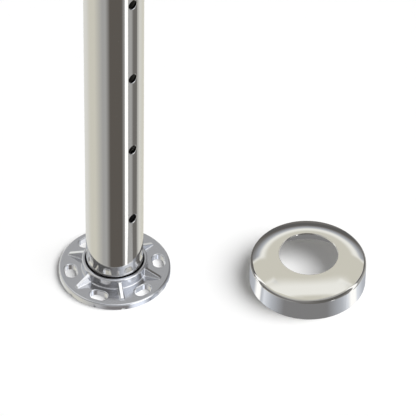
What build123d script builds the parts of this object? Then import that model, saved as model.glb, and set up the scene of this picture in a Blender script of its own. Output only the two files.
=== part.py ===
from build123d import *
from math import atan2, cos, degrees, radians, sin, sqrt, tan
import os

# Railing intermediate post: a round tube drilled for cables, on a ribbed cast foot, with its cover lying beside it.
# Millimetres, +Z up. The origin is on the post's axis on the underside of the foot. +X runs along the cable holes.

# Post tube
TUBE_D = 42.4
TUBE_WALL = 2.0
TUBE_TOP = 950.0  # open end, above the floor
TUBE_END_CHAMFER = 0.4

# Cable holes, drilled along X through both walls
HOLE_D = 7.5
HOLE_FIRST = 69.0  # lowest hole, above the floor
HOLE_PITCH = 68.0
HOLE_TOP_MARGIN = 60.0  # plain tube kept above the highest hole, for the handrail fitting
HOLE_DEBURR = 0.1  # at a hole's sides; above and below it the 45 degree cone cuts deeper

# Cast foot: a round plate
FOOT_D = 82.5
FOOT_T = 5.0
FOOT_EDGE_ROUND = 1.2
FOOT_BASE_CHAMFER = 0.3

# Collar that stands round the tube's end
COLLAR_GAP = 0.9  # ring gap between tube and collar
COLLAR_WALL = 2.1
COLLAR_HEIGHT = 8.5  # above the plate
COLLAR_RIM_ROUND = 1.0
COLLAR_BORE_ROUND = 0.2
SEAT_DEPTH = 2.0  # the tube's end sits this far below the plate's top

# Ribs between collar and plate
RIB_COUNT = 6
RIB_T = 2.5  # width of the sloping top face
RIB_DRAFT = 7.0  # degrees, each side
RIB_DROP = 2.0  # the rib starts this far below the collar's rim
RIB_END_HEIGHT = 1.1
RIB_END_MARGIN = 5.4  # plate left outside the rib's end
RIB_EDGE_ROUND = 0.3
CAST_FILLET = 0.7  # inside corners of collar, ribs and plate
ROUND_LAND = 0.1  # least flat left between two roundings

# Anchor slots, one between each two ribs, in the middle of the free ring
SLOT_W = 8.8
SLOT_L = 13.4
SLOT_EDGE_ROUND = 0.8  # widens the mouth on all sides

# Small marks of the casting's edge
DRAIN_R = 1.8  # half-round drain groove under each rib
NOTCH_W = 1.3  # upright centre mark beside each slot
NOTCH_BOTTOM = 0.7
NOTCH_TOP = 3.3
NOTCH_DEPTH = 0.5

# Spigot of the foot inside the tube, and the screw that passes through it
SPIGOT_GAP = 0.4
SPIGOT_TOP = 22.0
SPIGOT_CHAMFER = 1.0
SCREW_D = 10.0
SCREW_HEAD_D = 16.0
SCREW_HEAD_H = 10.0
SCREW_SOCKET_AF = 8.0
SCREW_SOCKET_DEPTH = 5.0
SCREW_RECESS = 2.0  # the head ends this far above the floor
SCREW_HOLE_GAP = 0.5
SCREW_PROUD = 4.0  # thread showing above the nut
HEAD_POCKET_GAP = 2.5

# Lock washer under the screw's head
WASHER_D = 18.0
WASHER_T = 2.2
WASHER_GAP = 0.2
WASHER_SPLIT = 1.6

# Split sleeve on the spigot, spread by the conical nut
SLEEVE_H = 24.0
SLEEVE_LIP = 2.0  # wall left at the wide end of the taper
SLEEVE_SLITS = 6
SLEEVE_SLIT_W = 1.6
SLEEVE_RING_H = 5.0  # unslit ring at the foot
TAPER_ANGLE = 12.0  # degrees from the axis
TAPER_DEPTH = 14.0
CONE_SEAT_GAP = 2.0  # the nut's small end stays this far above the taper's end
CONE_PROUD = 3.0

# Seal in the ring gap
SEAL_BELOW_RIM = 2.0
SEAL_H = 5.0

# Cover: a thin pressed rosette that slips down the tube over the foot, shown taken off
COVER_SHEET = 1.2
COVER_SKIRT_GAP = 0.3  # between the foot's edge and the skirt
COVER_HOLE_GAP = 0.5  # between tube and cover
COVER_H = 25.5
COVER_SHOULDER = 18.4  # where skirt and dome would meet without the round corner
COVER_BULGE = 1.0  # rise of the dome over its chord
COVER_CORNER_ROUND = 3.5
COVER_EDGE_ROUND = 0.25
COVER_OFFSET = 142.5  # from the post's axis to the cover's
COVER_BEARING = 47.4  # degrees from +X

# Sizes that follow
TUBE_R = TUBE_D / 2
BORE_R = TUBE_R - TUBE_WALL
FOOT_R = FOOT_D / 2
SEAT_Z = FOOT_T - SEAT_DEPTH
COLLAR_IN_R = TUBE_R + COLLAR_GAP
COLLAR_OUT_R = COLLAR_IN_R + COLLAR_WALL
COLLAR_TOP = FOOT_T + COLLAR_HEIGHT
SLOT_RING_R = (COLLAR_OUT_R + FOOT_R) / 2
SECTOR = 360 / RIB_COUNT
SPIGOT_R = BORE_R - SPIGOT_GAP
HEAD_TOP = SCREW_RECESS + SCREW_HEAD_H
POCKET_TOP = HEAD_TOP + WASHER_T
POCKET_R = SCREW_HEAD_D / 2 + HEAD_POCKET_GAP
SLEEVE_TOP = SPIGOT_TOP + SLEEVE_H
TAPER_WIDE_R = BORE_R - SLEEVE_LIP
TAPER_SLOPE = tan(radians(TAPER_ANGLE))
CONE_BOTTOM = SLEEVE_TOP - TAPER_DEPTH + CONE_SEAT_GAP
CONE_TOP = SLEEVE_TOP + CONE_PROUD
COVER_R = FOOT_R + COVER_SKIRT_GAP + COVER_SHEET
COVER_HOLE_R = TUBE_R + COVER_HOLE_GAP
OVERCUT = 1.0  # how far a cutting tool runs past a face
TINY = 1e-3  # two places this close are the same


def turned(*outline):
    """Solid of revolution about Z from a closed outline of (radius, height) corners."""
    return revolve(Plane.XZ * make_face(Polyline(*outline, close=True)), Axis.Z)


def ring(inner_r, outer_r, bottom, top):
    """Plain ring about Z."""
    return turned((inner_r, bottom), (outer_r, bottom), (outer_r, top), (inner_r, top))


def around(count, start, solid):
    """Copies of a solid spaced evenly about Z, the first one turned by start degrees."""
    return [Rot(Z=start + k * 360 / count) * solid for k in range(count)]


def radius_of(edge):
    """Distance of an edge's middle from the post's axis."""
    middle = edge @ 0.5
    return sqrt(middle.X**2 + middle.Y**2)


def is_level(edge, height):
    """Whether an edge's two ends lie at a height."""
    return abs((edge @ 0).Z - height) + abs((edge @ 1).Z - height) < TINY


def hole_heights():
    """Heights of the cable holes, from the lowest up to the plain end of the tube."""
    count = int((TUBE_TOP - HOLE_TOP_MARGIN - HOLE_FIRST) // HOLE_PITCH) + 1
    return [HOLE_FIRST + k * HOLE_PITCH for k in range(count)]


def post_tube():
    """Open tube with a cross hole for each cable."""
    c = TUBE_END_CHAMFER
    tube = turned(
        (BORE_R, SEAT_Z), (TUBE_R - c, SEAT_Z), (TUBE_R, SEAT_Z + c),
        (TUBE_R, TUBE_TOP - c), (TUBE_R - c, TUBE_TOP), (BORE_R, TUBE_TOP),
    )
    hole_r = HOLE_D / 2
    drill = Rot(Y=90) * Cylinder(hole_r, TUBE_D + 2 * OVERCUT)
    # The tube's surface falls away beside the hole's axis, so the cone starts where the hole's sides leave it.
    start_x = sqrt(TUBE_R**2 - hole_r**2) - HOLE_DEBURR
    reach = TUBE_R + OVERCUT - start_x
    countersink = Pos(X=start_x) * Rot(Y=90) * Cone(
        hole_r, hole_r + reach, reach, align=(Align.CENTER, Align.CENTER, Align.MIN)
    )
    for height in hole_heights():
        tube -= Pos(Z=height) * drill
        for turn in (0, 180):
            tube -= Pos(Z=height) * Rot(Z=turn) * countersink
    return tube


def foot_plate():
    """Round plate with a rounded upper edge."""
    plate = turned(
        (0, 0), (FOOT_R - FOOT_BASE_CHAMFER, 0), (FOOT_R, FOOT_BASE_CHAMFER), (FOOT_R, FOOT_T), (0, FOOT_T)
    )
    rim = plate.edges().filter_by(GeomType.CIRCLE).filter_by(lambda e: is_level(e, FOOT_T))
    return fillet(rim, FOOT_EDGE_ROUND)


def rib():
    """Wedge with a flat sloping top and drafted sides, along +X from the collar's wall to its blunt end."""
    spread = tan(radians(RIB_DRAFT))

    def section(x, height):
        """Upright section across the rib, with its foot sunk into the plate."""
        deep = FOOT_T / 2
        top, foot = RIB_T / 2, RIB_T / 2 + (height + deep) * spread
        outline = Polyline((-foot, -deep), (foot, -deep), (top, height), (-top, height), close=True)
        return Plane(origin=(x, 0, FOOT_T), x_dir=(0, 1, 0), z_dir=(1, 0, 0)) * make_face(outline)

    start_x = COLLAR_OUT_R - COLLAR_WALL / 2
    end_x = FOOT_R - RIB_END_MARGIN
    slope = (COLLAR_HEIGHT - RIB_DROP - RIB_END_HEIGHT) / (end_x - COLLAR_OUT_R)
    start_height = COLLAR_HEIGHT - RIB_DROP + slope * (COLLAR_OUT_R - start_x)
    wedge = loft([section(start_x, start_height), section(end_x, RIB_END_HEIGHT)], ruled=True)
    crest = wedge.edges().filter_by(lambda e: (e @ 0.5).Z > FOOT_T and (e @ 0.5).X > start_x + TINY)
    return fillet(crest, RIB_EDGE_ROUND)


def anchor_slot():
    """Cutter for one slot, its long side along the ring."""
    outline = Rot(Z=90) * SlotOverall(SLOT_L, SLOT_W)
    return Pos(SLOT_RING_R, 0, -OVERCUT) * extrude(outline, FOOT_T + 2 * OVERCUT)


def round_slot_mouths(foot):
    """Rounds the upper edge of each anchor slot."""
    near, far = SLOT_RING_R - SLOT_W / 2, sqrt((SLOT_RING_R + SLOT_W / 2) ** 2 + (SLOT_L / 2) ** 2)

    def is_mouth(edge):
        middle = edge @ 0.5
        bearing = degrees(atan2(middle.Y, middle.X)) % SECTOR
        beside = min(bearing, SECTOR - bearing) * radians(1) * SLOT_RING_R < SLOT_L / 2 + TINY
        return is_level(edge, FOOT_T) and beside and near - TINY < radius_of(edge) < far

    return fillet(foot.edges().filter_by(is_mouth), SLOT_EDGE_ROUND)


def base_foot():
    """The whole casting: plate, collar, ribs, spigot, slots, drain grooves and centre marks."""
    foot = foot_plate() + ring(COLLAR_IN_R - COLLAR_GAP, COLLAR_OUT_R, FOOT_T / 2, COLLAR_TOP)
    for one in around(RIB_COUNT, SECTOR / 2, rib()):
        foot += one

    def is_inside_corner(edge):
        at_plate = is_level(edge, FOOT_T) and radius_of(edge) < FOOT_R - RIB_END_MARGIN + TINY
        on_collar = abs((edge @ 0).Z - (edge @ 1).Z) > RIB_T / 2 and abs(radius_of(edge) - COLLAR_OUT_R) < TINY
        return at_plate or on_collar

    cast_fillet = min(CAST_FILLET, RIB_END_HEIGHT - RIB_EDGE_ROUND - ROUND_LAND)
    foot = fillet(foot.edges().filter_by(is_inside_corner), cast_fillet)
    foot -= ring(0, COLLAR_IN_R, SEAT_Z, COLLAR_TOP + OVERCUT)
    for radius, rounding in ((COLLAR_IN_R, COLLAR_BORE_ROUND), (COLLAR_OUT_R, COLLAR_RIM_ROUND)):
        rim = foot.edges().filter_by(GeomType.CIRCLE).filter_by(
            lambda e: is_level(e, COLLAR_TOP) and abs(e.radius - radius) < TINY
        )
        foot = fillet(rim, rounding)
    c = SPIGOT_CHAMFER
    foot += turned(
        (0, SEAT_Z / 2), (SPIGOT_R, SEAT_Z / 2), (SPIGOT_R, SPIGOT_TOP - c), (SPIGOT_R - c, SPIGOT_TOP), (0, SPIGOT_TOP)
    )
    foot -= ring(0, POCKET_R, -OVERCUT, POCKET_TOP)
    foot -= ring(0, SCREW_D / 2 + SCREW_HOLE_GAP, 0, SPIGOT_TOP + OVERCUT)
    for slot in around(RIB_COUNT, 0, anchor_slot()):
        foot -= slot
    foot = round_slot_mouths(foot)
    groove_from = POCKET_R - OVERCUT
    groove = Pos(X=groove_from) * Rot(Y=90) * Cylinder(
        DRAIN_R, FOOT_R + OVERCUT - groove_from, align=(Align.CENTER, Align.CENTER, Align.MIN)
    )
    for one in around(RIB_COUNT, SECTOR / 2, groove):
        foot -= one
    notch = Pos(FOOT_R - NOTCH_DEPTH, 0, NOTCH_BOTTOM) * Box(
        NOTCH_DEPTH + OVERCUT, NOTCH_W, NOTCH_TOP - NOTCH_BOTTOM, align=(Align.MIN, Align.CENTER, Align.MIN)
    )
    for one in around(RIB_COUNT, 0, notch):
        foot -= one
    return foot


def collar_seal():
    """Soft ring in the gap between tube and collar."""
    top = COLLAR_TOP - SEAL_BELOW_RIM
    return ring(TUBE_R, COLLAR_IN_R, top - SEAL_H, top)


def expander_sleeve():
    """Split sleeve that grips the tube's bore, standing on the spigot."""
    narrow_r = TAPER_WIDE_R - TAPER_DEPTH * TAPER_SLOPE
    sleeve = turned(
        (narrow_r, SPIGOT_TOP), (BORE_R, SPIGOT_TOP), (BORE_R, SLEEVE_TOP),
        (TAPER_WIDE_R, SLEEVE_TOP), (narrow_r, SLEEVE_TOP - TAPER_DEPTH),
    )
    slit_h = SLEEVE_H - SLEEVE_RING_H + OVERCUT
    slit = Pos(X=narrow_r - OVERCUT, Z=SPIGOT_TOP + SLEEVE_RING_H) * Box(
        BORE_R, SLEEVE_SLIT_W, slit_h, align=(Align.MIN, Align.CENTER, Align.MIN)
    )
    for one in around(SLEEVE_SLITS, 0, slit):
        sleeve -= one
    return sleeve


def cone_nut():
    """Conical nut drawn down into the sleeve's taper."""
    small_r = TAPER_WIDE_R - (SLEEVE_TOP - CONE_BOTTOM) * TAPER_SLOPE
    screw_r = SCREW_D / 2
    return turned(
        (screw_r, CONE_BOTTOM), (small_r, CONE_BOTTOM), (TAPER_WIDE_R, SLEEVE_TOP),
        (TAPER_WIDE_R, CONE_TOP), (screw_r, CONE_TOP),
    )


def clamp_screw():
    """Socket-head screw, put in from under the foot."""
    screw = ring(0, SCREW_HEAD_D / 2, SCREW_RECESS, HEAD_TOP)
    screw += ring(0, SCREW_D / 2, HEAD_TOP, CONE_TOP + SCREW_PROUD)
    socket = extrude(RegularPolygon(SCREW_SOCKET_AF / 2, 6, major_radius=False), SCREW_SOCKET_DEPTH + OVERCUT)
    return screw - Pos(Z=SCREW_RECESS - OVERCUT) * socket


def lock_washer():
    """Split spring washer between the screw's head and the foot."""
    washer = ring(SCREW_D / 2 + WASHER_GAP, WASHER_D / 2, HEAD_TOP, POCKET_TOP)
    split = Pos(X=WASHER_D / 2, Z=(HEAD_TOP + POCKET_TOP) / 2) * Rot(X=30) * Box(WASHER_D, WASHER_SPLIT, 3 * WASHER_T)
    return washer - split


def corners_at(face, x, y):
    """Corners of a flat section that lie at a point."""
    return [v for v in face.vertices() if abs(v.X - x) + abs(v.Y - y) < TINY]


def cover_section():
    """Half section of the cover's sheet: skirt, round corner and dome, cut off at the tube's hole."""
    shoulder = (COVER_R, COVER_SHOULDER)
    crown = (COVER_HOLE_R, COVER_H)
    outside = make_face([
        Line((0, 0), (COVER_R, 0)),
        Line((COVER_R, 0), shoulder),
        SagittaArc(shoulder, crown, -COVER_BULGE),
        Line(crown, (0, COVER_H)),
        Line((0, COVER_H), (0, 0)),
    ])
    outside = fillet(corners_at(outside, *shoulder), COVER_CORNER_ROUND)
    inside = offset(outside, -COVER_SHEET) + Rectangle(
        COVER_R - COVER_SHEET, 2 * COVER_SHEET + OVERCUT, align=(Align.MIN, Align.CENTER)
    )
    sheet = outside - inside - Rectangle(COVER_HOLE_R, 2 * COVER_H + OVERCUT, align=(Align.MIN, Align.CENTER))
    sheet = fillet(corners_at(sheet, *crown), COVER_EDGE_ROUND)
    return fillet(corners_at(sheet, COVER_R, 0), COVER_EDGE_ROUND)


def cover_rosette():
    """Pressed cover, lying on the floor beside the post."""
    bearing = radians(COVER_BEARING)
    place = Pos(COVER_OFFSET * cos(bearing), COVER_OFFSET * sin(bearing))
    return place * revolve(Plane.XZ * cover_section(), Axis.Z)


NODES = {
    "post_tube": post_tube,
    "base_foot": base_foot,
    "collar_seal": collar_seal,
    "expander_sleeve": expander_sleeve,
    "cone_nut": cone_nut,
    "clamp_screw": clamp_screw,
    "lock_washer": lock_washer,
    "cover_rosette": cover_rosette,
}

os.makedirs("parts", exist_ok=True)
for name, make in NODES.items():
    solid = make()
    solid.label = name
    export_step(solid, f"parts/{name}.step")
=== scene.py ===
"""Finish, light and camera of the railing post.

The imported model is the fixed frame. Every piece keeps the place and form it has there. This script gives each
piece its finish, turns the seal's lip, and sets up the floor, the reflected rooms, the lamp and the camera.

Polished metal shows little of its own. What it looks like is the room round it, so the room is laid out here
as a photographer would: softboxes, side lights, white strips and dark flags, one set for the post, one for
the rim of its foot and one for the cover beside it. Bearings are degrees from the photographer's side, to the
right, and heights of lights are degrees above the horizon. Lengths are in millimetres where nothing else is
said.
"""

import logging
import math
from dataclasses import dataclass, field
from enum import Enum

import bmesh
import bpy
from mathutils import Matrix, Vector


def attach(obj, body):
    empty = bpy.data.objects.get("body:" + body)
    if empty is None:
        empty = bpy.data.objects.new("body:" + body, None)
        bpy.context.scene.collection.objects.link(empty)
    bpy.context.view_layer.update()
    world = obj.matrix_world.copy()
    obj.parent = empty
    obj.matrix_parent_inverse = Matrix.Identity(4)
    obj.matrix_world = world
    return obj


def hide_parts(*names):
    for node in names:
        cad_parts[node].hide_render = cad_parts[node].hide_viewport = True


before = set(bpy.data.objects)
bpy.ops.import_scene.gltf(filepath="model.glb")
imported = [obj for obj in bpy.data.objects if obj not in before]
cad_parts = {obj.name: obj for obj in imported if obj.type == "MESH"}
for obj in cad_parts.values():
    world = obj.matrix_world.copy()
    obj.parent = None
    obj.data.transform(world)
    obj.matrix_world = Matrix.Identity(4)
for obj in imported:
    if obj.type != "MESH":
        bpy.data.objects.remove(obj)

log = logging.getLogger("railing_post")

Tree = bpy.types.NodeTree
Socket = bpy.types.NodeSocket

MM = 0.001
NEAR = 0.001 * MM  # points that lie closer together than this are one
BODY = "root"
FRONT = -39.0  # bearing of the photographer's side, degrees from +X
PLAIN = 1.22  # level at which polished steel shows a panel's colour about as it is written
DIM = "5a5a5a"  # what every room shows above the table where it has no light of its own
# The few plain tones that all lights, walls, cards and flags share, from light to dark.
WHITE, BRIGHT, PALE_COOL, PALE, WARM = "ffffff", "e8e8e4", "d8dce4", "d0d0cc", "c8c6bc"
COOL, MIDDLE, GREY, DUSK, DARK = "b0b4bc", "a0a0a0", "7c7c7e", "6c6a68", "5a5652"
NOISE_SPAN = (0.3, 0.7)  # where nearly all values of a noise texture lie
MIX_FIRST, MIX_SECOND, MIX_RESULT = 6, 7, 2  # colour sockets of a Mix node, which has each name several times


@dataclass(frozen=True)
class Extent:
    """How far a CAD node reaches."""

    low: Vector
    high: Vector

    @classmethod
    def of(cls, node: str) -> "Extent":
        """Measures a node, whose own coordinates are the frame's.

        Args:
            node: the node's name.

        Returns:
            Its lowest and its highest corner.
        """
        corners = [Vector(corner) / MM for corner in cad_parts[node].bound_box]
        low, high = (Vector([pick(values) for values in zip(*corners)]) for pick in (min, max))
        return cls(low, high)

    @property
    def middle(self) -> tuple[float, float]:
        """Its middle, seen from above."""
        middle = (self.low + self.high) / 2
        return middle.x, middle.y

    @property
    def radius(self) -> float:
        """The radius of a round node, seen from above."""
        return max(self.high.x - self.low.x, self.high.y - self.low.y) / 2


TUBE = Extent.of("post_tube")
SEAL = Extent.of("collar_seal")
COVER = Extent.of("cover_rosette")


def linear(colour: str, strength: float = 1.0) -> tuple[float, float, float, float]:
    """Linear colour of an sRGB hex value.

    Args:
        colour: six hex digits, such as "c8c6ba".
        strength: factor on the linear values, above 1 for something brighter than white.

    Returns:
        Red, green, blue and an alpha of 1.
    """
    parts = (int(colour[i : i + 2], 16) / 255 for i in (0, 2, 4))
    red, green, blue = (
        strength * (p / 12.92 if p <= 0.04045 else ((p + 0.055) / 1.055) ** 2.4) for p in parts
    )
    return red, green, blue, 1.0


def towards(bearing: float, height: float = 0.0) -> tuple[float, float, float]:
    """Unit vector to a bearing, counted from +X, and a height."""
    turn, rise = math.radians(bearing), math.radians(height)
    return math.cos(turn) * math.cos(rise), math.sin(turn) * math.cos(rise), math.sin(rise)


def add_node(tree: Tree, kind: str, inputs: dict | None = None, **settings) -> bpy.types.Node:
    """Adds one node to a tree.

    Args:
        tree: the material's or world's node tree.
        kind: the node's class name.
        inputs: by socket name or index, a constant value or the output socket that feeds it.
        settings: the node's own properties.

    Returns:
        The new node.
    """
    node = tree.nodes.new(kind)
    for name, value in settings.items():
        setattr(node, name, value)
    for socket, value in (inputs or {}).items():
        if isinstance(value, Socket):
            tree.links.new(value, node.inputs[socket])
        else:
            node.inputs[socket].default_value = value
    return node


def number(tree: Tree, operation: str, *inputs: Socket | float) -> Socket:
    """Works out one thing from one or two numbers."""
    return add_node(tree, "ShaderNodeMath", dict(enumerate(inputs)), operation=operation).outputs["Value"]


def vector(tree: Tree, operation: str, *inputs: Socket | tuple[float, float, float]) -> bpy.types.Node:
    """Works out one thing from one or two vectors. The node gives a vector as Vector, a number as Value."""
    return add_node(tree, "ShaderNodeVectorMath", dict(enumerate(inputs)), operation=operation)


def map_range(
    tree: Tree,
    value: Socket,
    span: tuple[float, float],
    result: tuple[float, float] = (0.0, 1.0),
    **settings,
) -> Socket:
    """Carries a value from one span over to another, and holds it at the ends.

    Args:
        tree: the node tree.
        value: the value.
        span: where the value starts and ends.
        result: what comes out at the start and at the end.
        settings: the node's own properties.

    Returns:
        The new value.
    """
    inputs = {
        "Value": value, "From Min": span[0], "From Max": span[1], "To Min": result[0], "To Max": result[1],
    }
    return add_node(tree, "ShaderNodeMapRange", inputs, **settings).outputs["Result"]


def mix_colours(tree: Tree, share: Socket, first: Socket | tuple, second: Socket | tuple) -> Socket:
    """Mixes two colours: the first where the share is 0, the second where it is 1."""
    inputs = {"Factor": share, MIX_FIRST: first, MIX_SECOND: second}
    return add_node(tree, "ShaderNodeMix", inputs, data_type="RGBA").outputs[MIX_RESULT]


def noise(tree: Tree, place: Socket, scale: float, detail: float) -> Socket:
    """A noise texture's value."""
    inputs = {"Vector": place, "Scale": scale, "Detail": detail}
    return add_node(tree, "ShaderNodeTexNoise", inputs).outputs["Fac"]


def bump(tree: Tree, height: Socket, relief: float) -> Socket:
    """The normal of a surface whose marks are as high as the relief where the height is 1."""
    inputs = {"Strength": 1.0, "Distance": relief * MM, "Height": height}
    return add_node(tree, "ShaderNodeBump", inputs).outputs["Normal"]


def object_place(tree: Tree) -> Socket:
    """Object coordinates, in metres."""
    return add_node(tree, "ShaderNodeTexCoord").outputs["Object"]


def empty_material(name: str) -> bpy.types.Material:
    """A new material with no nodes in its tree."""
    material = bpy.data.materials.new(name)
    material.use_nodes = True
    material.node_tree.nodes.clear()
    return material


def put_in_scene(name: str, data: bpy.types.ID) -> bpy.types.Object:
    """Makes an object of its data and links it to the scene."""
    made = bpy.data.objects.new(name, data)
    bpy.context.scene.collection.objects.link(made)
    return made


def add_mesh(name: str, shape: bmesh.types.BMesh, material: bpy.types.Material) -> bpy.types.Object:
    """Makes an object of a finished shape, which is freed.

    Args:
        name: the name of object and mesh.
        shape: the shape.
        material: its one material.

    Returns:
        The new object, in the scene.
    """
    mesh = bpy.data.meshes.new(name)
    shape.to_mesh(mesh)
    shape.free()
    mesh.materials.append(material)
    return put_in_scene(name, mesh)


def leave_to_mirrors(thing: bpy.types.Object) -> None:
    """Makes a thing one that only mirror images show."""
    thing.visible_camera = False
    thing.visible_diffuse = False
    thing.visible_shadow = False
    thing.visible_transmission = False


class Lay(Enum):
    """Which way the finest marks of a metal surface run."""

    EVEN = "even"  # no direction, as on a casting
    ALONG = "along"  # drawn out along Z, as on a tube
    ROUND = "round"  # rings about an upright axis, as left by a buffing wheel on a turning sheet


@dataclass(frozen=True)
class Finish:
    """What all finishes share: a colour, and a gloss that varies softly from place to place."""

    name: str
    colour: str
    roughness: float
    haze: float  # how much the roughness varies, up and down
    haze_width: float

    def gloss(self, tree: Tree, value: Socket) -> Socket:
        """The roughness that goes with a noise texture's value."""
        return map_range(tree, value, NOISE_SPAN, (self.roughness - self.haze, self.roughness + self.haze))


@dataclass(frozen=True)
class MetalFinish(Finish):
    """A bare metal surface, with a fine relief. Its colour can be painted dark as shade where no light gets in.
    """

    lay: Lay
    grain: float  # width of the finest marks
    relief: float  # their height
    centre: tuple[float, float] = (0.0, 0.0)  # of the rings of a round lay
    bore: float = 0.0  # distance from the Z axis up to which a tube's bore is painted dark as shade
    bore_end: tuple[float, float] = (0.0, 0.0)  # heights between which the bore's painted shade fades out at its top
    closed: float = 0.0  # distance within which walls all round shut out light; there the colour is painted dark as shade

    HAZE_DETAIL = 3.0
    GRAIN_DETAIL = 2.0
    GRAIN_LENGTH = 60.0  # how long the marks of a drawn tube run before they change
    # the near-black colour of the painted shade
    PAINTED_SHADE = "040404"
    SHUT_IN = (0.1, 0.5)  # shares of open view at which the painted shade is full and at which it is gone

    @staticmethod
    def off_axis(tree: Tree, place: Socket) -> Socket:
        """How far places lie from the Z axis."""
        level = vector(tree, "MULTIPLY", place, (1, 1, 0)).outputs["Vector"]
        return vector(tree, "LENGTH", level).outputs["Value"]

    def grain_place(self, tree: Tree, place: Socket) -> Socket:
        """Lays the coordinates out so that noise on them has the finish's lay.

        Args:
            tree: the material's node tree.
            place: Object coordinates, in metres.

        Returns:
            Coordinates in grain widths.
        """
        width = 1 / (self.grain * MM)
        if self.lay is not Lay.ROUND:
            length = 1 / (self.GRAIN_LENGTH * MM) if self.lay is Lay.ALONG else width
            spread = add_node(tree, "ShaderNodeMapping", {"Vector": place, "Scale": (width, width, length)})
            return spread.outputs["Vector"]
        x, y = self.centre
        centred = add_node(tree, "ShaderNodeMapping", {
            "Vector": place,
            "Location": (-x * MM * width, -y * MM * width, 0.0),
            "Scale": (width, width, width),
        }).outputs["Vector"]
        height = add_node(tree, "ShaderNodeSeparateXYZ", {"Vector": centred}).outputs["Z"]
        rings = add_node(tree, "ShaderNodeCombineXYZ", {"X": self.off_axis(tree, centred), "Z": height})
        return rings.outputs["Vector"]

    def painted_shade_share(self, tree: Tree, place: Socket) -> Socket:
        """Where shade is painted, as no light gets in: between near walls, or else in a tube's bore.

        Args:
            tree: the material's node tree.
            place: Object coordinates, in metres.

        Returns:
            A share, 1 where it is painted fully dark as shade.
        """
        if self.closed:
            view = add_node(tree, "ShaderNodeAmbientOcclusion", {"Distance": self.closed * MM}).outputs["AO"]
            return map_range(tree, view, self.SHUT_IN, (1.0, 0.0))
        inside = number(tree, "LESS_THAN", self.off_axis(tree, place), self.bore * MM)
        height = add_node(tree, "ShaderNodeSeparateXYZ", {"Vector": place}).outputs["Z"]
        start, end = self.bore_end
        deep = map_range(tree, height, (start * MM, end * MM), (1.0, 0.0), interpolation_type="SMOOTHSTEP")
        return number(tree, "MULTIPLY", inside, deep)

    def material(self) -> bpy.types.Material:
        """Builds the finish as a material.

        Returns:
            The new material, on Object coordinates.
        """
        material = empty_material(self.name)
        tree = material.node_tree
        place = object_place(tree)
        haze = noise(tree, place, 1 / (self.haze_width * MM), self.HAZE_DETAIL)
        grain = noise(tree, self.grain_place(tree, place), 1.0, self.GRAIN_DETAIL)
        surface = add_node(tree, "ShaderNodeBsdfPrincipled", {
            "Base Color": linear(self.colour),
            "Metallic": 1.0,
            "Roughness": self.gloss(tree, haze),
            "Normal": bump(tree, grain, self.relief),
        })
        # Painted shade: where no light gets in, the base colour is mixed over to near black.
        if self.bore or self.closed:
            colour = mix_colours(tree, self.painted_shade_share(tree, place), linear(self.colour), linear(self.PAINTED_SHADE))
            tree.links.new(colour, surface.inputs["Base Color"])
        add_node(tree, "ShaderNodeOutputMaterial", {"Surface": surface.outputs["BSDF"]})
        return material


@dataclass(frozen=True)
class RubberFinish(Finish):
    """Moulded rubber: matt, with a faint bloom in patches and a soft grainy skin."""

    relief: float

    BLOOM_DETAIL = 4.0

    def material(self) -> bpy.types.Material:
        """Builds the finish as a material.

        Returns:
            The new material, on Object coordinates.
        """
        material = empty_material(self.name)
        tree = material.node_tree
        bloom = noise(tree, object_place(tree), 1 / (self.haze_width * MM), self.BLOOM_DETAIL)
        surface = add_node(tree, "ShaderNodeBsdfPrincipled", {
            "Base Color": linear(self.colour),
            "Roughness": self.gloss(tree, bloom),
            "Normal": bump(tree, bloom, self.relief),
        })
        add_node(tree, "ShaderNodeOutputMaterial", {"Surface": surface.outputs["BSDF"]})
        return material


HOLE_RIM = 0.3  # how much of a cable hole's wall, from the tube's outside, is left out of the bore's painted shade
BORE_LIT_FROM, BORE_LIT_TO = 55.0, 2.0  # below the tube's top, between which the bore's painted shade fades out

# Stainless tube, belt polished to a mirror: crisp reflections, with a trace of long faint marks down its
# length. Its bore is painted near black as shade, since no light gets in: the cable holes look black, with
# a thin bright rim.
POLISHED_TUBE = MetalFinish(
    "mirror_polished_stainless_tube", "e8e7e4", roughness=0.05, haze=0.012, haze_width=15,
    lay=Lay.ALONG, grain=0.6, relief=0.0001,
    bore=TUBE.radius - HOLE_RIM, bore_end=(TUBE.high.z - BORE_LIT_FROM, TUBE.high.z - BORE_LIT_TO),
)
# Stainless sheet, pressed and buffed while turning: a mirror with the faintest rings and a soft bloom.
PRESSED_SHEET = MetalFinish(
    "buffed_pressed_stainless_sheet", "e8e7e4", roughness=0.05, haze=0.012, haze_width=12,
    lay=Lay.ROUND, grain=0.8, relief=0.0001, centre=COVER.middle,
)
# Stainless investment casting, tumbled and electropolished: bright satin with soft highlights and a trace of
# orange peel.
CAST_STEEL = MetalFinish(
    "electropolished_cast_stainless", "e3e4e7", roughness=0.16, haze=0.02, haze_width=5,
    lay=Lay.EVEN, grain=0.9, relief=0.0004,
)
# Stainless turned on a lathe: dull, with fine rings from the tool.
# Where walls all round shut out light, it is painted dark as shade.
TURNED_STEEL = MetalFinish(
    "turned_stainless", "d6d6d6", roughness=0.28, haze=0.05, haze_width=3,
    lay=Lay.ROUND, grain=0.25, relief=0.003, closed=80,
)
# Cold-headed stainless screw steel: a little darker and duller, with no lay.
# Where walls all round shut out light, it is painted dark as shade.
HEADED_STEEL = MetalFinish(
    "cold_headed_stainless", "cccccd", roughness=0.34, haze=0.05, haze_width=2,
    lay=Lay.EVEN, grain=0.3, relief=0.003, closed=80,
)
# Moulded EPDM rubber: near black and matt, which makes the dark line round the tube.
SEAL_RUBBER = RubberFinish(
    "moulded_epdm_rubber", "161616", roughness=0.65, haze=0.1, haze_width=1.5, relief=0.01
)


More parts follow.
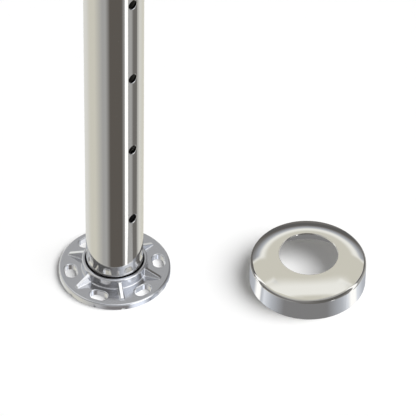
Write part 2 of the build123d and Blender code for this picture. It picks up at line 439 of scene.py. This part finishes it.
def dress(nodes: tuple[str, ...], finish: MetalFinish, mirrored: bool) -> None:
    """Gives CAD nodes that keep their own shape one finish.

    Args:
        nodes: the nodes' names.
        finish: what they get.
        mirrored: whether mirror images show them.
    """
    material = finish.material()
    for name in nodes:
        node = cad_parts[name]
        node.data.materials.clear()
        node.data.materials.append(material)
        node.visible_glossy = mirrored
        log.info("%s: %s", name, finish.name)


@dataclass
class Post:
    """The tube: one CAD node, polished. Foot and cover don't mirror it, as each stands in its own light."""

    node: str = "post_tube"

    def build(self) -> None:
        """Dresses the tube."""
        dress((self.node,), POLISHED_TUBE, mirrored=False)


@dataclass
class Foot:
    """The casting and the seal in its collar."""

    node: str = "base_foot"
    seal_node: str = "collar_seal"
    lip_width: float = 0.3
    lip_rise: float = 0.45
    edge_round: float = 0.1
    edge_steps: int = 3
    steps: int = 128

    def seal(self) -> bpy.types.Object:
        """Spins the seal ring, whose top rises to a thin lip on the tube.

        Returns:
            The ring, in the place of its CAD node.
        """
        shape = bmesh.new()
        shoulder = SEAL.high.z - self.lip_rise
        section = (
            (TUBE.radius, SEAL.low.z), (SEAL.radius, SEAL.low.z), (SEAL.radius, shoulder),
            (TUBE.radius + self.lip_width, shoulder), (TUBE.radius, SEAL.high.z),
        )
        corners = [shape.verts.new((radius * MM, 0.0, z * MM)) for radius, z in section]
        edges = [shape.edges.new((a, b)) for a, b in zip(corners, corners[1:] + corners[:1])]
        bmesh.ops.spin(
            shape, geom=corners + edges, cent=(0, 0, 0), axis=(0, 0, 1), angle=math.tau, steps=self.steps,
            use_merge=True,
        )
        bmesh.ops.remove_doubles(shape, verts=shape.verts, dist=NEAR)
        bmesh.ops.recalc_face_normals(shape, faces=shape.faces)
        outer_rim = [edge for edge in shape.edges if all(
            abs(end.co.z - shoulder * MM) < NEAR and abs(end.co.xy.length - SEAL.radius * MM) < NEAR
            for end in edge.verts
        )]
        bmesh.ops.bevel(
            shape, geom=outer_rim, offset=self.edge_round * MM, affect="EDGES", segments=self.edge_steps,
            profile=0.5, material=-1,
        )
        ring = add_mesh("seal_ring", shape, SEAL_RUBBER.material())
        ring.data.shade_smooth()
        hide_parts(self.seal_node)
        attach(ring, BODY)
        log.info("seal_ring: %s", SEAL_RUBBER.name)
        return ring

    def build(self) -> None:
        """Dresses the casting and makes the seal."""
        dress((self.node,), CAST_STEEL, mirrored=True)
        self.seal()


@dataclass
class Fixing:
    """What holds the tube on the foot, hidden inside: four CAD nodes, which no mirror image shows."""

    turned: tuple[str, ...] = ("expander_sleeve", "cone_nut")
    headed: tuple[str, ...] = ("clamp_screw", "lock_washer")

    def build(self) -> None:
        """Dresses the four."""
        dress(self.turned, TURNED_STEEL, mirrored=False)
        dress(self.headed, HEADED_STEEL, mirrored=False)


@dataclass
class Cover:
    """The cover: one CAD node. Tube and foot don't mirror it, as it stands in its own light."""

    node: str = "cover_rosette"

    def build(self) -> None:
        """Dresses the cover."""
        dress((self.node,), PRESSED_SHEET, mirrored=False)


@dataclass(frozen=True)
class Panel:
    """A place on a belt or card: its bearing and its colour there."""

    bearing: float
    colour: str
    strength: float = PLAIN

    @property
    def light(self) -> tuple[float, float, float, float]:
        """Its linear colour."""
        return linear(self.colour, self.strength)


@dataclass
class Directions:
    """Directions in a node tree, as the photographer counts them."""

    tree: Tree
    given: Socket
    turned: Socket = field(init=False)  # with the photographer on +X
    bearing: Socket = field(init=False)
    height: Socket = field(init=False)
    once_round: Socket = field(init=False)  # the bearing, as a share of the way round from the back

    def __post_init__(self) -> None:
        """Turns the given directions and splits them up."""
        self.turned = add_node(
            self.tree, "ShaderNodeVectorRotate", {"Vector": self.given, "Angle": math.radians(-FRONT)},
            rotation_type="Z_AXIS",
        ).outputs["Vector"]
        parts = add_node(self.tree, "ShaderNodeSeparateXYZ", {"Vector": self.turned}).outputs
        self.bearing = number(self.tree, "ARCTAN2", parts["Y"], parts["X"])
        self.height = number(self.tree, "ARCSINE", parts["Z"])
        self.once_round = map_range(self.tree, self.bearing, (-math.pi, math.pi))

    def along(self, axis: tuple[float, float, float]) -> Socket:
        """How far the directions point along an axis, 1 for right along it."""
        return vector(self.tree, "DOT_PRODUCT", self.turned, axis).outputs["Value"]

    def both(self, first: Socket, second: Socket) -> Socket:
        """The product of two shares."""
        return number(self.tree, "MULTIPLY", first, second)

    def step(self, value: Socket, start: float, end: float) -> Socket:
        """A smooth step of a value: 0 at start and 1 at end, which may be the lower of the two."""
        return map_range(
            self.tree, value, (min(start, end), max(start, end)), (float(start > end), float(end > start)),
            interpolation_type="SMOOTHSTEP",
        )

    def angle_step(self, angle: Socket, start: float, end: float) -> Socket:
        """The same for an angle, with start and end in degrees."""
        return self.step(angle, math.radians(start), math.radians(end))

    def ramp(self, panels: tuple[Panel, ...]) -> Socket:
        """Lays panels out once round, from the back over the left, the front and the right.

        Args:
            panels: the panels in order, the first at -180 and the last at 180.

        Returns:
            The colour.
        """
        ramp = add_node(self.tree, "ShaderNodeValToRGB", {"Fac": self.once_round})
        stops = ramp.color_ramp.elements
        stops[0].color = panels[0].light
        stops[1].color = panels[-1].light
        for panel in panels[1:-1]:
            stops.new((panel.bearing + 180) / 360).color = panel.light
        return ramp.outputs["Color"]


@dataclass(frozen=True)
class Belt:
    """A belt of a room, up to the next one, with its panels from left to right."""

    name: str
    start: float  # height at which it has half taken over from the belt below
    fade: float  # degrees over which it takes over
    panels: tuple[Panel, ...]


@dataclass(frozen=True)
class Pool:
    """A round light or shade in a room."""

    name: str
    bearing: float
    height: float
    radius: float
    fade: float
    colour: str
    strength: float = PLAIN

    def share(self, directions: Directions) -> Socket:
        """How much of it shows in each direction, 0 to 1."""
        axis = towards(self.bearing, self.height)
        angle = number(directions.tree, "ARCCOSINE", directions.along(axis))
        half = self.fade / 2
        return directions.angle_step(angle, self.radius + half, self.radius - half)


@dataclass(frozen=True)
class Arch:
    """A long light that spans a room overhead, from side to side.

    Its edges are given as shares of the way towards its near side: 0 is straight overhead, -1 the far wall.
    """

    name: str
    turn: float  # degrees by which its near side is turned to the right of the photographer
    far_start: float
    far_end: float
    near_start: float
    near_end: float
    foot: float  # height at which its ends fade in
    full: float  # height from which it is full
    colour: str
    strength: float = PLAIN

    def share(self, directions: Directions) -> Socket:
        """How much of it shows in each direction, 0 to 1."""
        near = directions.along(towards(self.turn))
        band = directions.both(
            directions.step(near, self.far_start, self.far_end),
            directions.step(near, self.near_end, self.near_start),
        )
        return directions.both(band, directions.angle_step(directions.height, self.foot, self.full))


@dataclass(frozen=True)
class Strip:
    """An upright light with straight sides."""

    name: str
    bearing: float
    width: float
    bottom: float
    top: float
    fade: float
    colour: str
    strength: float = PLAIN

    def share(self, directions: Directions) -> Socket:
        """How much of it shows in each direction, 0 to 1."""
        off = number(directions.tree, "SUBTRACT", directions.bearing, math.radians(self.bearing))
        aside = number(directions.tree, "ABSOLUTE", off)
        half_width, half_fade = self.width / 2, self.fade / 2
        ends = directions.both(
            directions.angle_step(directions.height, self.bottom - half_fade, self.bottom + half_fade),
            directions.angle_step(directions.height, self.top + half_fade, self.top - half_fade),
        )
        sides = directions.angle_step(aside, half_width + half_fade, half_width - half_fade)
        return directions.both(sides, ends)


@dataclass(frozen=True)
class Room:
    """What one group of pieces mirrors: belts, then the lights laid over them in turn."""

    name: str
    mirrored_by: tuple[str, ...]
    ground: tuple[Panel, ...]  # what it shows below its lowest belt
    belts: tuple[Belt, ...]
    lights: tuple[Pool | Arch | Strip, ...]
    radius: float = 20.0  # of its shell round the post's foot, in metres; no two shells are the same

    def paint(self, directions: Directions) -> Socket:
        """Paints the room on directions.

        Args:
            directions: where to look, with the node tree to paint in.

        Returns:
            The colour.
        """
        colour = directions.ramp(self.ground)
        for belt in self.belts:
            half = belt.fade / 2
            share = directions.angle_step(directions.height, belt.start - half, belt.start + half)
            colour = mix_colours(directions.tree, share, colour, directions.ramp(belt.panels))
        for light in self.lights:
            shown = linear(light.colour, light.strength)
            colour = mix_colours(directions.tree, light.share(directions), colour, shown)
        return colour


ALL_DIM = (Panel(-180, DIM), Panel(180, DIM))

# What lies below the table's height is common to all rooms: the tube mirrors it all the way up.
LOW_ROOM = Room("low_room", (), ground=(
    Panel(-180, PALE), Panel(-130, PALE), Panel(-105, WARM), Panel(-80, WARM), Panel(-45, MIDDLE),
    Panel(-32, MIDDLE), Panel(-15, DARK), Panel(30, DARK), Panel(42, MIDDLE), Panel(70, MIDDLE),
    Panel(80, DUSK), Panel(100, DUSK), Panel(115, PALE), Panel(145, WARM), Panel(180, WARM),
), belts=(
    Belt("above", -33, 10, ALL_DIM),
), lights=(
    Strip("low white strip", 46.3, 7, -88, -33, 2, WHITE, 1.4),
))

POST_ROOM = Room("post_room", (
    "post_tube", "base_foot", "expander_sleeve", "cone_nut", "clamp_screw", "lock_washer",
), ground=ALL_DIM, belts=(
    Belt("skirting", -33, 10, (
        Panel(-180, MIDDLE), Panel(-135, PALE), Panel(-60, WARM), Panel(-20, MIDDLE), Panel(90, MIDDLE),
        Panel(115, GREY), Panel(145, GREY), Panel(180, MIDDLE),
    )),
    Belt("wall", 8, 8, (
        Panel(-180, MIDDLE), Panel(-145, PALE), Panel(-108, WARM), Panel(-75, MIDDLE), Panel(0, MIDDLE),
        Panel(20, COOL), Panel(88, COOL), Panel(105, GREY), Panel(145, GREY), Panel(180, MIDDLE),
    )),
    Belt("upper wall", 36, 8, (
        Panel(-180, MIDDLE), Panel(-150, COOL), Panel(-130, PALE), Panel(-120, COOL), Panel(-110, GREY),
        Panel(-88, DARK), Panel(-25, DARK), Panel(-10, GREY), Panel(11, GREY), Panel(20, COOL),
        Panel(45, PALE_COOL), Panel(68, PALE_COOL), Panel(86, COOL), Panel(98, DUSK), Panel(145, DARK),
        Panel(166, MIDDLE), Panel(180, MIDDLE),
    )),
    Belt("ceiling", 54, 8, (
        Panel(-180, MIDDLE), Panel(-160, PALE), Panel(-100, COOL), Panel(-60, MIDDLE), Panel(10, COOL),
        Panel(40, WHITE), Panel(95, WHITE), Panel(120, PALE), Panel(150, MIDDLE), Panel(180, MIDDLE),
    )),
    Belt("top", 70, 10, (
        Panel(-180, PALE), Panel(-140, COOL), Panel(-90, MIDDLE), Panel(-30, PALE_COOL),
        Panel(30, WHITE, 1.5), Panel(120, WHITE, 1.3), Panel(155, PALE_COOL), Panel(180, PALE),
    )),
), lights=(
    Pool("left top light", -119, 61, 11, 4, WHITE, 1.4),
    Pool("far left flat", -154, 14, 8, 4, BRIGHT),
    Pool("far right flat", 163, 6, 8, 4, PALE),
    Strip("key light", 52, 41, -22, 37, 7, WHITE, 1.6),
))

# Light close below the foot, which its upright rim mirrors. Its shell is a small one, because the card below
# the cover would hide any light that is farther off.
RIM_ROOM = Room("rim_room", ("base_foot",), ground=(
    Panel(-180, DIM), Panel(-57, DUSK), Panel(-10, GREY), Panel(20, GREY), Panel(57, DIM), Panel(180, DIM),
), belts=(
    Belt("above", -8, 6, ALL_DIM),
), lights=(
    Strip("rim light", 36.5, 24, -45, -10, 14, PALE_COOL),
), radius=0.075)

COVER_ROOM = Room("cover_room", ("cover_rosette",), ground=ALL_DIM, belts=(
    Belt("skirting", -33, 10, (
        Panel(-180, DARK), Panel(-125, GREY), Panel(-80, DUSK), Panel(-35, GREY), Panel(10, DUSK),
        Panel(40, DIM), Panel(60, DUSK), Panel(100, MIDDLE), Panel(140, MIDDLE), Panel(165, GREY),
        Panel(180, DARK),
    )),
    Belt("table edge", -9, 4, (
        Panel(-180, DUSK), Panel(-60, DUSK), Panel(0, GREY), Panel(20, DIM), Panel(60, DIM),
        Panel(100, MIDDLE), Panel(125, GREY), Panel(180, DUSK),
    )),
    Belt("horizon", -2, 4, (
        Panel(-180, DARK), Panel(-60, DARK), Panel(0, DUSK), Panel(20, DARK), Panel(60, DARK),
        Panel(100, MIDDLE), Panel(125, DUSK), Panel(150, DARK), Panel(180, DARK),
    )),
    Belt("wall", 9, 10, (
        Panel(-180, DUSK), Panel(-140, DUSK), Panel(-115, DARK), Panel(-85, MIDDLE), Panel(-25, MIDDLE),
        Panel(10, DUSK), Panel(60, DARK), Panel(95, GREY), Panel(115, DARK), Panel(140, DUSK),
        Panel(180, DUSK),
    )),
    Belt("upper wall", 33, 10, (
        Panel(-180, MIDDLE), Panel(-120, WARM), Panel(-50, WARM), Panel(20, MIDDLE), Panel(60, MIDDLE),
        Panel(100, WARM), Panel(120, WARM), Panel(180, MIDDLE),
    )),
    Belt("ceiling", 58, 12, (Panel(-180, WARM), Panel(180, WARM))),
), lights=(
    Pool("softbox spill", 173, 48.6, 38, 10, COOL),
    Pool("softbox edge", 173, 48.6, 33.5, 5, BRIGHT),
    Pool("flat edge left", -133, 44, 17, 5, BRIGHT),
    Pool("flat edge right", 131, 41, 17.8, 4, BRIGHT),
    Pool("softbox", 174, 48.6, 27.5, 6, WARM),
    Pool("softbox top", 178, 66, 24, 5, WARM),
    Pool("flat left", -133, 44, 14.5, 5, WARM),
    Pool("flat right", 131, 41, 16, 4, WARM),
    Pool("camera shade", 176, 45, 9.5, 4, MIDDLE),
    Arch("overhead light", 5, -0.42, -0.14, 0.02, 0.12, 46, 58, BRIGHT),
    Strip("strip left", -105, 14, -35, 47, 4, WHITE),
    Strip("strip right", 88, 12, -40, 45, 4, WHITE),
), radius=22.0)


@dataclass
class Surroundings:
    """The world, and one clear shell of light for each room, which only the room's own pieces mirror."""

    rooms: tuple[Room, ...] = (POST_ROOM, RIM_ROOM, COVER_ROOM)
    ambient: float = 0.15  # strength of the world's light on matt things
    shell_steps: int = 3

    def world(self) -> bpy.types.World:
        """Builds the world: white for the camera, plain for matt things, the low room for mirror images.

        Returns:
            The new world, set on the scene.
        """
        world = bpy.data.worlds.new("studio_room")
        world.use_nodes = True
        tree = world.node_tree
        tree.nodes.clear()
        directions = Directions(tree, add_node(tree, "ShaderNodeTexCoord").outputs["Generated"])
        low = add_node(tree, "ShaderNodeBackground", {"Color": LOW_ROOM.paint(directions), "Strength": 1.0})
        matt = add_node(tree, "ShaderNodeBackground", {"Color": linear("ffffff"), "Strength": self.ambient})
        white = add_node(tree, "ShaderNodeBackground", {"Color": linear("ffffff"), "Strength": 1.0})
        path = add_node(tree, "ShaderNodeLightPath")
        lit = add_node(tree, "ShaderNodeMixShader", {
            0: path.outputs["Is Glossy Ray"], 1: matt.outputs["Background"], 2: low.outputs["Background"],
        })
        seen = add_node(tree, "ShaderNodeMixShader", {
            0: path.outputs["Is Camera Ray"], 1: lit.outputs["Shader"], 2: white.outputs["Background"],
        })
        add_node(tree, "ShaderNodeOutputWorld", {"Surface": seen.outputs["Shader"]})
        bpy.context.scene.world = world
        return world

    def shell_material(self, room: Room) -> bpy.types.Material:
        """Builds a clear shell's glow: what the room has more than the dim level that the world shows.

        Args:
            room: the room.

        Returns:
            The new material.
        """
        material = empty_material(f"{room.name}_light")
        material.cycles.emission_sampling = "NONE"
        tree = material.node_tree
        directions = Directions(tree, vector(tree, "NORMALIZE", object_place(tree)).outputs["Vector"])
        more = vector(tree, "SUBTRACT", room.paint(directions), linear(DIM, PLAIN)[:3]).outputs["Vector"]
        light = vector(tree, "MAXIMUM", more, (0, 0, 0)).outputs["Vector"]
        glow = add_node(tree, "ShaderNodeEmission", {"Color": light, "Strength": 1.0})
        clear = add_node(tree, "ShaderNodeBsdfTransparent")
        shown = add_node(tree, "ShaderNodeAddShader", {0: glow.outputs["Emission"], 1: clear.outputs["BSDF"]})
        add_node(tree, "ShaderNodeOutputMaterial", {"Surface": shown.outputs["Shader"]})
        return material

    def shell(self, room: Room) -> bpy.types.Object:
        """Builds a room's shell.

        Args:
            room: the room.

        Returns:
            The shell.
        """
        shape = bmesh.new()
        bmesh.ops.create_icosphere(shape, subdivisions=self.shell_steps, radius=room.radius)
        shell = add_mesh(room.name, shape, self.shell_material(room))
        leave_to_mirrors(shell)
        group = bpy.data.collections.new(f"{room.name}_pieces")
        for name in room.mirrored_by:
            group.objects.link(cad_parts[name])
        shell.light_linking.receiver_collection = group
        log.info("%s: %s", room.name, ", ".join(part.name for part in room.belts + room.lights))
        return shell

    def build(self) -> None:
        """Builds the world and the shells."""
        self.world()
        for room in self.rooms:
            self.shell(room)


@dataclass
class Card:
    """A round card below the table, round the cover's axis, which only the cover's upright skirt mirrors."""

    centre: tuple[float, float] = COVER.middle
    radius: float = 130.0
    steps: int = 96
    depth: float = 60.0  # below the floor
    reach: float = 113.0  # rays that are longer pass through it, so the tube doesn't mirror it
    inner: float = 50.0
    inner_colour: str = GREY
    panels: tuple[Panel, ...] = (
        Panel(-180, GREY), Panel(-110, COOL), Panel(-100, WHITE), Panel(-91, WHITE), Panel(-87, COOL),
        Panel(-80, PALE_COOL), Panel(-64, COOL), Panel(-40, GREY), Panel(30, GREY), Panel(58, COOL),
        Panel(70, PALE_COOL), Panel(77, WHITE), Panel(88, WHITE), Panel(94, PALE_COOL),
        Panel(112, COOL), Panel(180, GREY),
    )

    def material(self) -> bpy.types.Material:
        """Builds the card's glow, by bearing from the cover's axis.

        Returns:
            The new material.
        """
        material = empty_material("printed_card")
        tree = material.node_tree
        x, y = self.centre
        centred = add_node(tree, "ShaderNodeMapping", {
            "Vector": object_place(tree), "Location": (-x * MM, -y * MM, self.depth * MM),
        }).outputs["Vector"]
        off = vector(tree, "LENGTH", centred).outputs["Value"]
        outside = number(tree, "GREATER_THAN", off, self.inner * MM)
        inner = linear(self.inner_colour, PLAIN)
        printed = mix_colours(tree, outside, inner, Directions(tree, centred).ramp(self.panels))
        glow = add_node(tree, "ShaderNodeEmission", {"Color": printed, "Strength": 1.0}).outputs["Emission"]
        clear = add_node(tree, "ShaderNodeBsdfTransparent").outputs["BSDF"]
        ray = add_node(tree, "ShaderNodeLightPath").outputs["Ray Length"]
        near = number(tree, "LESS_THAN", ray, self.reach * MM)
        shown = add_node(tree, "ShaderNodeMixShader", {0: near, 1: clear, 2: glow})
        add_node(tree, "ShaderNodeOutputMaterial", {"Surface": shown.outputs["Shader"]})
        return material

    def build(self) -> bpy.types.Object:
        """Builds the card.

        Returns:
            The card, which only mirror images show.
        """
        shape = bmesh.new()
        bmesh.ops.create_circle(shape, cap_ends=True, segments=self.steps, radius=self.radius * MM)
        x, y = self.centre
        bmesh.ops.translate(shape, verts=shape.verts, vec=(x * MM, y * MM, -self.depth * MM))
        card = add_mesh("table_card", shape, self.material())
        leave_to_mirrors(card)
        log.info("table_card: %d panels", len(self.panels))
        return card


@dataclass
class Studio:
    """Floor, lamp and camera. Its lengths are in metres."""

    floor_size: float = 12.0
    floor_colour: str = "f4f4f4"
    floor_glow: float = 0.06  # added for the camera only, so that the lit floor is white
    lamp_bearing: float = 78.0
    lamp_height: float = 50.0
    lamp_spread: float = 53.0  # degrees across
    lamp_strength: float = 3.65
    shade_makers: tuple[str, ...] = ("base_foot", "cover_rosette")
    camera_place: tuple[float, float, float] = (1.56628, -1.26737, 1.99581)
    camera_pitch: float = 46.205  # degrees up from straight down
    camera_yaw: float = 50.7
    focal_pixels: float = 3833.55
    frame_pixels: float = 416.0
    axis_pixel: float = 130.0  # column of the camera's axis
    sensor: float = 36.0  # millimetres, as Blender counts it
    sight: float = 50.0  # how far the camera sees

    def floor(self) -> bpy.types.Object:
        """Builds the pale floor, which mirror images don't show.

        Returns:
            The floor.
        """
        material = empty_material("pale_floor")
        tree = material.node_tree
        paint = add_node(tree, "ShaderNodeBsdfDiffuse", {"Color": linear(self.floor_colour)})
        seen = add_node(tree, "ShaderNodeLightPath").outputs["Is Camera Ray"]
        glow_level = number(tree, "MULTIPLY", seen, self.floor_glow)
        glow = add_node(tree, "ShaderNodeEmission", {"Strength": glow_level})
        both = add_node(tree, "ShaderNodeAddShader", {0: paint.outputs["BSDF"], 1: glow.outputs["Emission"]})
        add_node(tree, "ShaderNodeOutputMaterial", {"Surface": both.outputs["Shader"]})
        shape = bmesh.new()
        bmesh.ops.create_grid(shape, x_segments=1, y_segments=1, size=self.floor_size / 2)
        floor = add_mesh("floor", shape, material)
        floor.visible_glossy = False
        return floor

    def lamp(self) -> bpy.types.Object:
        """Hangs the soft lamp on the right. The low pieces throw its shadows, and the tall tube doesn't.

        Returns:
            The lamp.
        """
        light = bpy.data.lights.new("soft_lamp", "SUN")
        light.energy = self.lamp_strength
        light.angle = math.radians(self.lamp_spread)
        lamp = put_in_scene("soft_lamp", light)
        place = Vector(towards(FRONT + self.lamp_bearing, self.lamp_height))
        lamp.rotation_euler = place.to_track_quat("Z", "Y").to_euler()
        lamp.visible_glossy = False
        low = bpy.data.collections.new("shade_makers")
        for name in self.shade_makers:
            low.objects.link(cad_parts[name])
        lamp.light_linking.blocker_collection = low
        return lamp

    def camera(self) -> bpy.types.Object:
        """Sets the camera where the photographer's was.

        Returns:
            The camera.
        """
        data = bpy.data.cameras.new("camera")
        data.sensor_width = self.sensor
        data.lens = self.focal_pixels / self.frame_pixels * self.sensor
        data.shift_x = 0.5 - self.axis_pixel / self.frame_pixels
        data.clip_end = self.sight
        camera = put_in_scene("camera", data)
        camera.location = self.camera_place
        camera.rotation_euler = (math.radians(self.camera_pitch), 0.0, math.radians(self.camera_yaw))
        bpy.context.scene.camera = camera
        return camera

    def build(self) -> None:
        """Builds the whole studio and sets the plain view transform."""
        self.camera()
        self.floor()
        self.lamp()
        bpy.context.scene.view_settings.view_transform = "Standard"
        log.info("studio: camera, floor and lamp")


def main() -> None:
    """Builds the sub-assemblies and the studio in order."""
    logging.basicConfig(level=logging.INFO, format="%(name)s %(message)s")
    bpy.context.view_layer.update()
    for assembly in (Studio(), Surroundings(), Card(), Post(), Foot(), Fixing(), Cover()):
        assembly.build()


if __name__ == "__main__":
    main()
